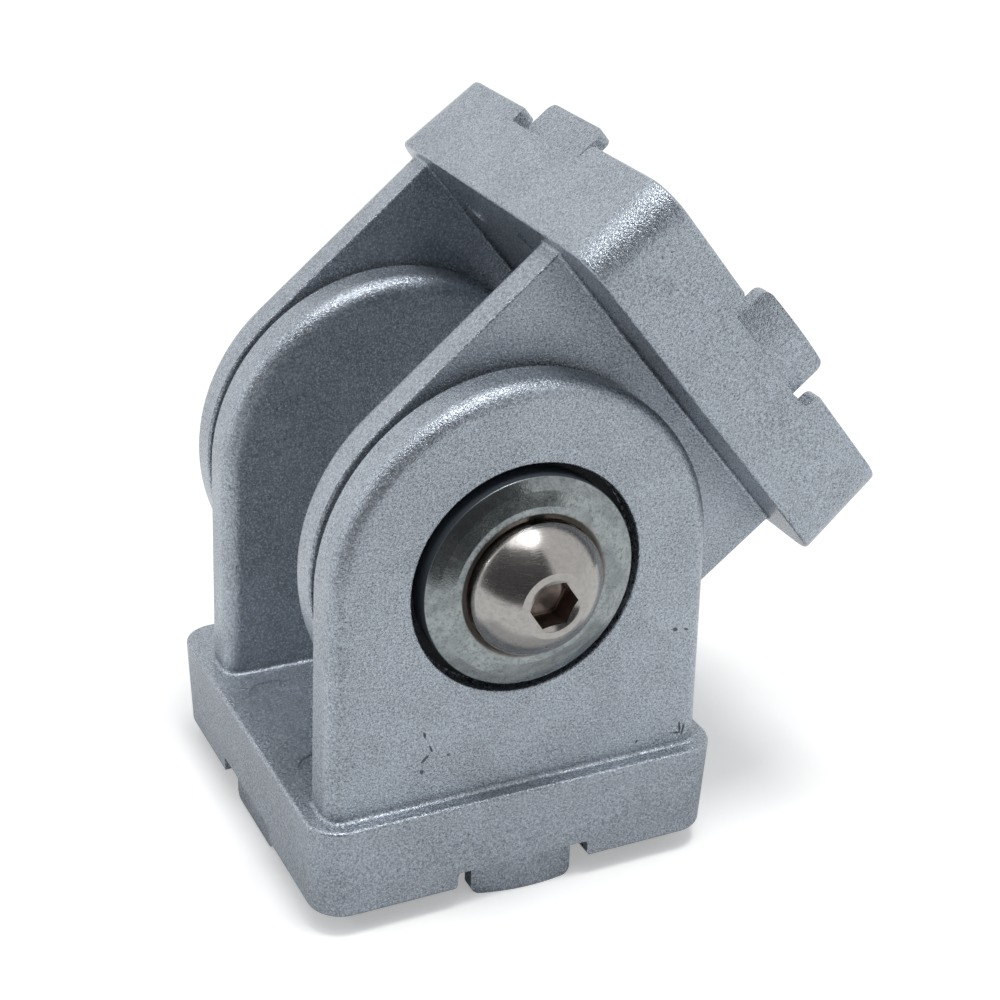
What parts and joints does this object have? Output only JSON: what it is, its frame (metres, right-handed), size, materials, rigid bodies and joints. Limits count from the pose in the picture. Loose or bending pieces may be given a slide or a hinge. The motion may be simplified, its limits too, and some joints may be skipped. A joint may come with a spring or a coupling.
{
  "type": "profile pivot joint",
  "caption": "Clamped pivot joint for square slotted profiles: cast plates with interleaved round-topped ears, slot tongues and sunk button-head clamp screws.",
  "frame": {"origin": "centre of the lower seat face, on the lower core bore's axis", "axes": "+Z from the lower seat towards the pivot, pivot axis along Y, lower casting's outer ear at -Y; the upper half leans towards +X"},
  "size_m": [0.0432, 0.0362, 0.0508],
  "materials": {
    "cast_paint": "satin silver-grey speckled paint on die-cast zinc",
    "stainless_screw": "polished stainless steel",
    "zinc_plate": "dull zinc plating on turned steel",
    "spring_steel": "plain spring steel",
    "insert_steel": "plain machined steel",
    "disc_polymer": "black moulded polymer"
  },
  "bodies": {
    "lower": {"lower_body": "cast_paint", "front_cup_washer": "zinc_plate", "front_spring_washer": "spring_steel", "rear_threaded_insert": "insert_steel", "rear_friction_disc": "disc_polymer"},
    "upper": {"upper_body": "cast_paint", "rear_cup_washer": "zinc_plate", "rear_spring_washer": "spring_steel", "front_threaded_insert": "insert_steel", "front_friction_disc": "disc_polymer"},
    "front_screw": {"front_clamp_screw": "stainless_screw"},
    "rear_screw": {"rear_clamp_screw": "stainless_screw"}
  },
  "joints": [
    {"name": "pivot", "type": "hinge", "parent": "lower", "child": "upper", "pos_m": [0, 0, 0.0227], "axis": [0, 1, 0], "range_deg": [-141, 39]},
    {"name": "front_screw_turn", "type": "hinge", "parent": "upper", "child": "front_screw", "pos_m": [0, -0.014, 0.0227], "axis": [0, -1, 0], "range_deg": [0, 180]},
    {"name": "rear_screw_turn", "type": "hinge", "parent": "lower", "child": "rear_screw", "pos_m": [0, 0.014, 0.0227], "axis": [0, 1, 0], "range_deg": [0, 180]}
  ]
}
